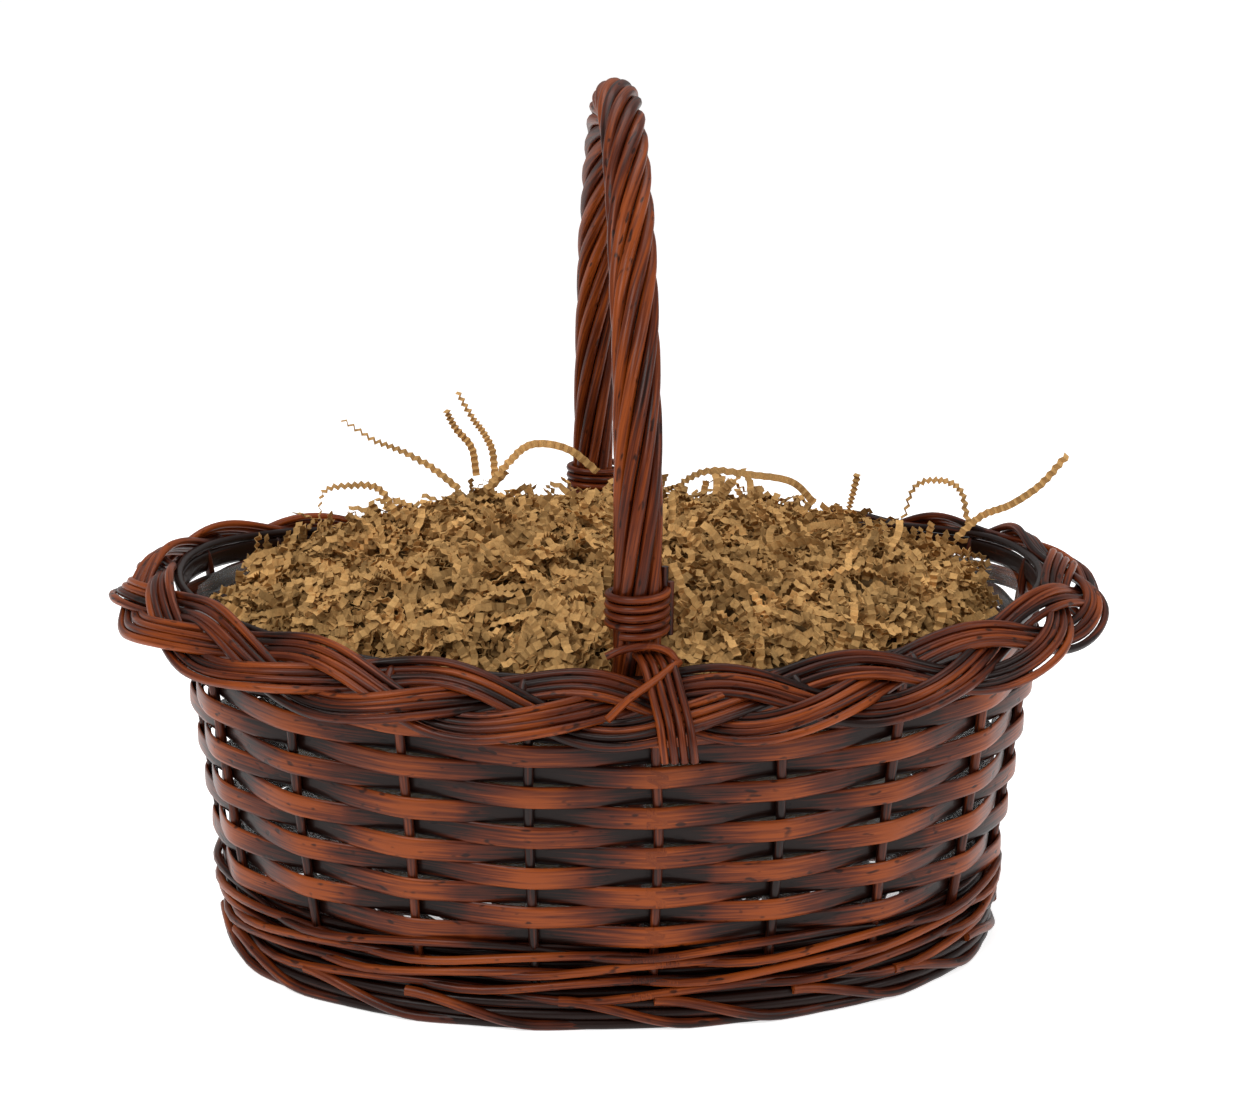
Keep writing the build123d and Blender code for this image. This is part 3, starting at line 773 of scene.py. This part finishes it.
class BASKET_OT_border(bpy.types.Operator):
    """Plait the border from three strands of four rods"""

    bl_idname = "basket.border"
    bl_label = "Plaited border"

    def execute(self, context):
        rod = 0.5 * context.scene.basket_sizes.border_rod
        per_stake = 14
        steps = per_stake * STAKE_COUNT
        stations = oval_stations(*CREST_HALF, steps, STAKE_SHIFT)
        spacing = (stations[per_stake][0] - stations[0][0]).length
        steepness = 2 * math.pi * PLAIT_SWING / (3 * spacing)
        turning = math.radians(225)        # where a strand dives and its tone may change
        for strand in range(3):
            for rod_index in range(PLAIT_RODS):
                place = rod_index - 0.5 * (PLAIT_RODS - 1)
                wander = random.Random(400 + 10 * strand + rod_index)
                strokes = [wander.uniform(-0.45, 0.65) for _ in range(12)]
                points, outs, tones = [], [], []
                for index in range(steps + 1):
                    swing = 2 * math.pi * (index / per_stake + strand) / 3
                    side_step = place * PLAIT_GAP * math.hypot(1.0, steepness * math.cos(swing))
                    across = PLAIT_SWING * math.sin(swing) + side_step
                    across += 1.3 * MM * noise.noise(Vector((index * 0.07, strand, place)))
                    heave = -PLAIT_HEAVE * math.sin(2 * swing)
                    heave += 1.1 * MM * noise.noise(Vector((index * 0.06, place, strand + 5)))
                    station = stations[index % steps]
                    points.append(border_point(station, across, heave))
                    outs.append(station[1] * math.sin(BORDER_SLOPE)
                                + Vector((0, 0, math.cos(BORDER_SLOPE))))
                    stroke = int((swing - turning) // (2 * math.pi))
                    # Random tone for each stroke, plus painted highlight where a rod heaves over the
                    # others and painted shade where it dives under them.
                    tones.append(strokes[stroke % len(strokes)] + 0.4 * heave / PLAIT_HEAVE)
                bm = new_willow_mesh()
                grow_rod(bm, points, outs, rod, rod, segments=8, tones=tones, girth=0.16,
                         seed=400 + 10 * strand + rod_index)
                name = f"border_plait_{strand + 1}_rod_{rod_index + 1}"
                make_piece(f"plaited_{name}", bm, willow("border willow"), [name])
        return {"FINISHED"}


class BASKET_OT_handle(bpy.types.Operator):
    """Twist the roping rods round the bow"""

    bl_idname = "basket.handle"
    bl_label = "Roped bow handle"

    def execute(self, context):
        bow = Bow()
        rod = 0.5 * context.scene.basket_sizes.roping_rod
        steps = 170
        start = bow.leg - LEG_STRAIGHT - LEG_BELOW_CREST
        run = 2 * (bow.half - start)
        bm = new_willow_mesh()
        for index in range(ROPING_COUNT):
            wander = random.Random(500 + index)
            points, outs = [], []
            for step in range(steps + 1):
                share = step / steps
                middle, outward = bow.point(start + share * run)
                slack = ROPING_EASE * math.sin(2 * math.pi * share) / (2 * math.pi)
                around = 2 * math.pi * (index / ROPING_COUNT - ROPING_TURNS * (share - slack))
                radius = ROPING_MIDDLE + 0.25 * MM * noise.noise(Vector((share * 20, index, 3.3)))
                arm = Vector((1, 0, 0)) * math.cos(around) + outward * math.sin(around)
                points.append(middle + arm * radius)
                outs.append(arm)
            grow_rod(bm, points, outs, rod, rod, segments=10, seed=500 + index, girth=0.07,
                     tones=wander.uniform(-0.5, 0.45))
        piece = make_piece("twisted_roping_rods", bm, willow("handle willow"),
                           ["handle_roping_rods"])
        sharpen_ends(piece)
        return {"FINISHED"}


# Rods laid over the border beside the handle: millimetres along, across and above the border
TAIL_COUNT = 4
TAIL_START, TAIL_PITCH = 3.5, 3.7
TAIL_ROUTE = ((-6, -26, -2), (-4, -21, 4), (-2, -13, 7), (0, 0, 8), (2, 12, 7), (3, 19, 3),
              (4, 22, -3))
SLANTED_ROUTE = ((-14, 9, 6.5), (-6, 2, 9), (4, -6, 9), (12, -14, 7), (15, -18, 4))
LOOSE_TURN_ROUTE = ((-13, -19, 7), (-6, -21, 9), (4, -22, 9), (11, -20, 8), (14, -17, 5))
FRONT_STUBS = ((10.4, 19), (12.6, 13))     # millimetres beside the bow and length


class BASKET_OT_lashings(bpy.types.Operator):
    """Tie the bow to the border, front and rear"""

    bl_idname = "basket.lashings"
    bl_label = "Lashings"

    def laid_rod(self, bm, side, route, start, radius, seed, tone):
        """A rod laid over the border along a route, moved along the border by a start."""
        station = oval_stations(*CREST_HALF, 1)[0]
        points = []
        for along, across, heave in route:
            point = border_point(station, across * MM, heave * MM)
            points.append(Vector((-side * (start + along) * MM, -side * point.y, point.z)))
        points = smooth_route(points, 8)
        grow_rod(bm, points, [Vector((1, 0, 0))] * len(points), radius, radius, segments=8,
                 seed=seed, tones=tone, girth=0.08)

    def execute(self, context):
        bow = Bow()
        rod = 0.5 * context.scene.basket_sizes.lashing_rod
        per_turn = 28
        for side, name in ((-1, "front_lashing"), (1, "rear_lashing")):
            bm = new_willow_mesh()
            points, outs = [], []
            for step in range(int(LASHING_TURNS * per_turn)):
                walked = bow.leg + 6 * MM - LASHING_PITCH * step / per_turn
                middle, outward = bow.point(walked if side < 0 else 2 * bow.half - walked)
                around = 2 * math.pi * step / per_turn
                arm = Vector((1, 0, 0)) * math.cos(around) + outward * math.sin(around)
                points.append(middle + arm * (9.7 * MM + rod))
                outs.append(arm)
            grow_rod(bm, points, outs, rod, rod, segments=8, seed=600 + side, tones=0.1)
            for index in range(TAIL_COUNT):
                self.laid_rod(bm, side, TAIL_ROUTE, TAIL_START + TAIL_PITCH * index, rod,
                              610 + index, 0.3 - 0.2 * index)
            self.laid_rod(bm, side, SLANTED_ROUTE, 0, rod, 620, 0.4)
            self.laid_rod(bm, side, LOOSE_TURN_ROUTE, 0, rod, 621, 0.2)
            for reach, length in FRONT_STUBS if side < 0 else ():
                low, outward = bow.point(bow.leg - 12 * MM)
                foot = Vector((-side * reach * MM, -side * low.y, low.z))
                grow_rod(bm, [foot, foot + Vector((0, 0, length * 0.5 * MM)),
                              foot + Vector((0, 0, (length + 8) * MM))],
                         [Vector((1, 0, 0))] * 3, 1.5 * MM, 1.5 * MM, seed=630 + length,
                         tones=-0.3)
            piece = make_piece(f"tied_{name}", bm, willow("lashing willow"),
                               [name])
            sharpen_ends(piece)
        return {"FINISHED"}


LINER_LEVELS = [30, 55, 80, 100, 115, 125, 132, 138]       # millimetres
LINER_INSET = 7.2 * MM


def inner_ring(level, count, ripple=1.8 * MM):
    """Points of a crumpled ring inside the wall."""
    half_length, half_width = wall_size(level)
    points = []
    for index, (place, outward) in enumerate(
            oval_stations(half_length - LINER_INSET, half_width - LINER_INSET, count)):
        angle = 2 * math.pi * index / count
        key = Vector((4.5 * math.cos(angle), 4.5 * math.sin(angle), level * 40 + 3.0))
        point = place + outward * ripple * noise.noise(key * 2.2)
        point.z = level + rise(point.x, level)
        points.append(point)
    return points


class BASKET_OT_liner(bpy.types.Operator):
    """Line the wall with crumpled clear film"""

    bl_idname = "basket.liner"
    bl_label = "Liner film"

    def execute(self, context):
        bm = bmesh.new()
        count = 180
        made = bmesh.ops.create_circle(bm, cap_ends=True, radius=1.0, segments=count)
        ring = sorted(made["verts"], key=lambda v: math.atan2(v.co.y, v.co.x))
        edges = bm.edges[:]
        for step, level in enumerate(LINER_LEVELS):
            if step:
                ring, edges = extrude_run(bm, edges)
                ring.sort(key=lambda v: math.atan2(v.co.y, v.co.x))
            targets = inner_ring(level * MM, count)
            targets.sort(key=lambda p: math.atan2(p.y, p.x))
            for vert, target in zip(ring, targets):
                vert.co = target
                if level == LINER_LEVELS[-1]:
                    vert.co.z += 5 * MM * noise.noise(target * 38)
        piece = make_piece("crumpled_liner_film", bm, film_finish(), ["liner_film"])
        wall = piece.modifiers.new("film thickness", "SOLIDIFY")
        wall.thickness = 0.25 * MM
        return {"FINISHED"}


def crinkle_strip(seed, width, length):
    """One crinkle-cut paper strip: an edge extruded from fold to fold, then given a thickness."""
    wander = random.Random(seed)
    bm = bmesh.new()
    edges = [bm.edges.new([bm.verts.new((0, half * width, 0)) for half in (-0.5, 0.5)])]
    step_length = wander.uniform(1.3, 2.6) * MM
    wander.random()                # holds the later draws in their order
    folds = max(8, int(length / step_length))
    pleat = wander.uniform(0.35, 1.05) * MM
    turn = wander.uniform(-2.2, 2.2) / folds
    dip = wander.uniform(-0.4, 1.6) / folds
    twist = wander.uniform(-2.0, 2.0) / folds
    place = Matrix.Identity(4)
    previous = Matrix.Identity(4)
    for fold in range(folds):
        swerve = 0.25 * noise.noise(Vector((fold * 0.3, seed, 0)))
        place = (place @ Matrix.Rotation(turn + swerve, 4, "Z") @ Matrix.Rotation(dip, 4, "Y")
                 @ Matrix.Rotation(twist, 4, "X") @ Matrix.Translation((step_length, 0, 0)))
        height = pleat * wander.uniform(0.5, 1.4) * (1 if fold % 2 else -1)
        now = place @ Matrix.Translation((0, 0, height))
        verts, edges = extrude_run(bm, edges)
        bmesh.ops.transform(bm, matrix=now @ previous.inverted(), verts=verts)
        previous = now
    bmesh.ops.solidify(bm, geom=bm.faces[:], thickness=PAPER_THICKNESS)
    centre = sum((vert.co for vert in bm.verts), Vector()) / len(bm.verts)
    bmesh.ops.translate(bm, vec=-centre, verts=bm.verts)
    bmesh.ops.recalc_face_normals(bm, faces=bm.faces)
    return mesh_from(bm, f"crinkle {seed}")


HEAP_HALF = (FILL_BOX[1].x - 5 * MM, FILL_BOX[1].y + 4 * MM)
HEAP_EDGE = 131 * MM
HEAP_TOP = FILL_BOX[1].z
HEAP_SPREAD = 0.97             # how much of the heap's outline the strips fill
HEAP_PARTS = 6
STRIP_LENGTHS = (18, 22, 26, 30, 34, 40)       # millimetres
STRIP_SHAPES = 24
PAPER_SHADES = (1.0, 0.78, 1.22, 0.6)
# The core's paper is darkened as painted shade inside the heap.
CORE_PAINTED_SHADE = 0.28


def heap_height(x, y):
    """Height of the paper heap, rounded and uneven."""
    reach = math.hypot(x / HEAP_HALF[0], y / HEAP_HALF[1])
    dome = math.sqrt(max(0.0, 1 - reach ** 2.6))
    lumps = 7 * MM * noise.noise(Vector((x * 22, y * 22, 1.0)))
    return HEAP_EDGE + (HEAP_TOP - HEAP_EDGE - 5 * MM) * dome + lumps


def heap_normal(x, y):
    """Upward direction of the heap's surface."""
    step = 4 * MM
    slope_x = (heap_height(x + step, y) - heap_height(x - step, y)) / (2 * step)
    slope_y = (heap_height(x, y + step) - heap_height(x, y - step)) / (2 * step)
    return Vector((-slope_x, -slope_y, 1)).normalized()


# Routes of the strands that stand out of the heap, millimetres
LOOSE_STRANDS = (
    ((-116, 20, 220), (-103, 20, 211), (-91, 20, 206), (-78, 18, 199), (-66, 14, 190)),
    ((-66, 30, 230), (-60, 30, 219), (-55, 30, 212), (-51, 28, 204), (-50, 24, 192)),
    ((-71, 35, 221), (-67, 35, 213), (-60, 35, 204), (-58, 32, 192)),
    ((-126, 0, 176), (-124, 0, 192), (-112, 0, 195), (-100, 0, 193), (-92, 0, 180)),
    ((28, 30, 180), (34, 30, 189), (46, 30, 194), (64, 30, 192), (82, 28, 189), (92, 24, 180)),
    ((150, -4, 170), (162, 0, 179), (175, 0, 184), (188, 0, 193), (199, 0, 206)),
    ((131, 20, 172), (136, 20, 188), (147, 20, 191), (157, 20, 186), (160, 16, 172)),
    ((108, 30, 174), (110, 30, 182), (112, 30, 192)),
    ((-56, -20, 196), (-46, -20, 208), (-36, -20, 216), (-21, -20, 214), (-8, -20, 204)),
)


def loose_strand(route, tilt, width, seed):
    """A crinkled strand along a route: an edge extruded from pleat to pleat."""
    wander = random.Random(seed)
    points = smooth_route([Vector(point) * MM for point in route], 9)
    bm = bmesh.new()
    verts, edges = [], []
    for index, point in enumerate(points):
        after = points[min(index + 1, len(points) - 1)]
        along = (after - points[max(index - 1, 0)]).normalized()
        across = Matrix.Rotation(tilt + 0.03 * index, 3, along) @ Vector((0, 1, 0))
        across = (across - along * across.dot(along)).normalized()
        crest = along.cross(across) * wander.uniform(0.6, 1.1) * MM * (1 if index % 2 else -1)
        ends = [point + crest - across * 0.5 * width, point + crest + across * 0.5 * width]
        if index:
            verts, edges = extrude_run(bm, edges)
            side = verts[0].co - verts[1].co
            if side.dot(across) > 0:
                verts.reverse()
        else:
            verts = [bm.verts.new(end) for end in ends]
            edges = [bm.edges.new(verts)]
        for vert, end in zip(verts, ends):
            vert.co = end
    bmesh.ops.solidify(bm, geom=bm.faces[:], thickness=PAPER_THICKNESS)
    bmesh.ops.recalc_face_normals(bm, faces=bm.faces)
    return mesh_from(bm, f"strand {seed}")


class BASKET_OT_paper(bpy.types.Operator):
    """Heap the crinkle-cut paper"""

    bl_idname = "basket.paper"
    bl_label = "Paper fill"

    def core(self, material):
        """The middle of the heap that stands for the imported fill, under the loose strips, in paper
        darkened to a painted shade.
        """
        bm = bmesh.new()
        bmesh.ops.create_uvsphere(bm, u_segments=96, v_segments=48, radius=1.0)
        for vert in bm.verts:
            x = vert.co.x * HEAP_HALF[0] * HEAP_SPREAD
            y = vert.co.y * HEAP_HALF[1] * HEAP_SPREAD
            if vert.co.z > -0.02:
                z = heap_height(x, y) - 10 * MM
            else:
                reach = min(1.0, math.hypot(vert.co.x, vert.co.y) * 1.04)
                x, y = x * 0.93, y * 0.93
                z = FILL_BOX[0].z + 2 * MM + (HEAP_EDGE - FILL_BOX[0].z - 14 * MM) * reach ** 9
            vert.co = (x, y, z)
        return make_piece("paper_heap_core", bm, material, ["paper_fill"])

    def execute(self, context):
        sizes = context.scene.basket_sizes
        colour = tuple(context.scene.basket_colours.paper)
        shades = [paper_finish(f"kraft paper {i + 1}", colour, s)
                  for i, s in enumerate(PAPER_SHADES)]
        # The core is painted dark as shade inside the heap.
        self.core(paper_finish("core kraft paper in painted shade", colour, CORE_PAINTED_SHADE))
        shapes = [crinkle_strip(700 + i, sizes.paper_width,
                                STRIP_LENGTHS[i % len(STRIP_LENGTHS)] * MM)
                  for i in range(STRIP_SHAPES)]
        count = sizes.paper_strips
        for part in range(HEAP_PARTS):
            wander = random.Random(800 + part)
            bm = bmesh.new()
            depth = (part - 4.5) * 1.6 * MM
            for _ in range(count):
                radius = wander.random() ** 0.52
                if wander.random() < 0.3:
                    radius = 1.0 - 0.13 * wander.random()
                angle = wander.uniform(0, 2 * math.pi)
                x = radius * math.cos(angle) * HEAP_HALF[0] * HEAP_SPREAD
                y = radius * math.sin(angle) * HEAP_HALF[1] * HEAP_SPREAD
                up = heap_normal(x, y)
                spin = Matrix.Rotation(wander.uniform(0, 2 * math.pi), 4, "Z")
                tip = (Matrix.Rotation(wander.gauss(0, 0.5), 4, "X")
                       @ Matrix.Rotation(wander.gauss(0, 0.32), 4, "Y"))
                lay = up.to_track_quat("Z", "Y").to_matrix().to_4x4()
                place = Matrix.Translation((x, y, heap_height(x, y) + depth))
                strip = wander.choice(shapes).copy()
                strip.transform(place @ lay @ spin @ tip)
                shade = min(len(shades) - 1, int(abs(wander.gauss(0, 1.3))))
                strip.polygons.foreach_set("material_index", [shade] * len(strip.polygons))
                take_in(bm, strip)
            if part == HEAP_PARTS - 1:
                for index, route in enumerate(LOOSE_STRANDS):
                    take_in(bm, loose_strand(route, 0.35 * (index % 3), sizes.paper_width,
                                             900 + index))
            piece = make_piece(f"paper_strips_{part + 1}", bm, shades[0])
            for shade in shades[1:]:
                piece.data.materials.append(shade)
            piece.data.polygons.foreach_set("use_smooth", [False] * len(piece.data.polygons))
        for shape in shapes:
            bpy.data.meshes.remove(shape)
        return {"FINISHED"}


class BASKET_OT_hidden_willow(bpy.types.Operator):
    """Give the base sticks and the bow's core their finish"""

    bl_idname = "basket.hidden_willow"
    bl_label = "Sticks and core"

    def execute(self, context):
        finish = willow("hidden willow", on_object=True)
        for name in ("base_cross_sticks", "base_long_sticks", "handle_bow"):
            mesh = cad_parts[name].data
            mesh.materials.clear()
            mesh.materials.append(finish)
        return {"FINISHED"}


# Soft lights: name, place, aim (metres), width (metres) and power (watts)
SOFT_LIGHTS = (
    ("key", (-0.9, -1.1, 1.5), (0, 0, 0.12), 0.9, 17),
    ("fill", (1.3, -0.9, 0.9), (0, 0, 0.12), 0.8, 7),
    ("top", (0.1, 0.3, 1.6), (0, 0, 0.1), 1.2, 10),
)
FLOOR_HALF_SIZE = 400.0
FLOOR_GLOW = 0.68
SKY_STRENGTH = 0.4
CAMERA_LENS = 67.96            # on a sensor 36 mm wide
CAMERA_SIDE, CAMERA_BACK, CAMERA_HEIGHT = 6.74 * MM, 1.0, 405.3 * MM
CAMERA_TURN, CAMERA_PITCH, CAMERA_ROLL = (
    math.radians(-4.957), math.radians(13.526), math.radians(-0.568))


class BASKET_OT_stage(bpy.types.Operator):
    """Set the floor, the soft lights and the camera"""

    bl_idname = "basket.stage"
    bl_label = "Stage"

    def soft_light(self, name, place, target, size, power):
        """A square area light aimed at a point."""
        light = bpy.data.lights.new(name, "AREA")
        light.shape = "SQUARE"
        light.size = size
        light.energy = power
        holder = bpy.data.objects.new(name, light)
        holder.location = place
        aim = Vector(target) - Vector(place)
        holder.rotation_euler = aim.to_track_quat("-Z", "Y").to_euler()
        bpy.context.scene.collection.objects.link(holder)

    def execute(self, context):
        bm = bmesh.new()
        bmesh.ops.create_grid(bm, x_segments=8, y_segments=8, size=FLOOR_HALF_SIZE)
        mesh = mesh_from(bm, "floor")
        floor = bpy.data.objects.new("floor", mesh)
        context.scene.collection.objects.link(floor)
        material, _, _, shader = node_tree("pale floor")
        shader.inputs["Base Color"].default_value = (*context.scene.basket_colours.floor, 1)
        shader.inputs["Roughness"].default_value = 0.8
        shader.inputs["Emission Color"].default_value = (1, 1, 1, 1)
        shader.inputs["Emission Strength"].default_value = FLOOR_GLOW
        mesh.materials.append(material)
        world = bpy.data.worlds.new("soft studio")
        world.use_nodes = True
        sky = world.node_tree.nodes["Background"]
        sky.inputs["Color"].default_value = (1, 1, 1, 1)
        sky.inputs["Strength"].default_value = SKY_STRENGTH
        context.scene.world = world
        for light in SOFT_LIGHTS:
            self.soft_light(*light)
        context.scene.view_settings.view_transform = "Standard"
        camera = bpy.data.cameras.new("camera")
        camera.sensor_width = 36
        camera.lens = CAMERA_LENS
        holder = bpy.data.objects.new("camera", camera)
        holder.matrix_world = (
            Matrix.Rotation(CAMERA_TURN, 4, "Z")
            @ Matrix.Translation((CAMERA_SIDE, -CAMERA_BACK, CAMERA_HEIGHT))
            @ Matrix.Rotation(math.radians(90) - CAMERA_PITCH, 4, "X")
            @ Matrix.Rotation(-CAMERA_ROLL, 4, "Z")
        )
        context.scene.collection.objects.link(holder)
        context.scene.camera = holder
        return {"FINISHED"}


class BASKET_PT_panel(bpy.types.Panel):
    """Sidebar panel that lists the pieces"""

    bl_idname = "BASKET_PT_panel"
    bl_label = "Market basket"
    bl_space_type = "VIEW_3D"
    bl_region_type = "UI"
    bl_category = "Basket"

    def draw(self, context):
        for name in BasketSizes.__annotations__:
            self.layout.prop(context.scene.basket_sizes, name)
        for name in BasketColours.__annotations__:
            self.layout.prop(context.scene.basket_colours, name)
        for operator in OPERATORS:
            self.layout.operator(operator.bl_idname)


OPERATORS = (
    BASKET_OT_base,
    BASKET_OT_foot,
    BASKET_OT_stakes,
    BASKET_OT_wall,
    BASKET_OT_border,
    BASKET_OT_handle,
    BASKET_OT_lashings,
    BASKET_OT_liner,
    BASKET_OT_paper,
    BASKET_OT_hidden_willow,
    BASKET_OT_stage,
)
CLASSES = (BasketSizes, BasketColours, *OPERATORS, BASKET_PT_panel)


def register():
    """Register the classes and hang the settings on the scene."""
    for cls in CLASSES:
        bpy.utils.register_class(cls)
    bpy.types.Scene.basket_sizes = bpy.props.PointerProperty(type=BasketSizes)
    bpy.types.Scene.basket_colours = bpy.props.PointerProperty(type=BasketColours)


def unregister():
    """Take the settings and the classes away again."""
    del bpy.types.Scene.basket_colours
    del bpy.types.Scene.basket_sizes
    for cls in reversed(CLASSES):
        bpy.utils.unregister_class(cls)


def main():
    """Build the basket piece by piece."""
    register()
    for operator in OPERATORS:
        group, name = operator.bl_idname.split(".")
        getattr(getattr(bpy.ops, group), name)()


if __name__ == "__main__":
    main()
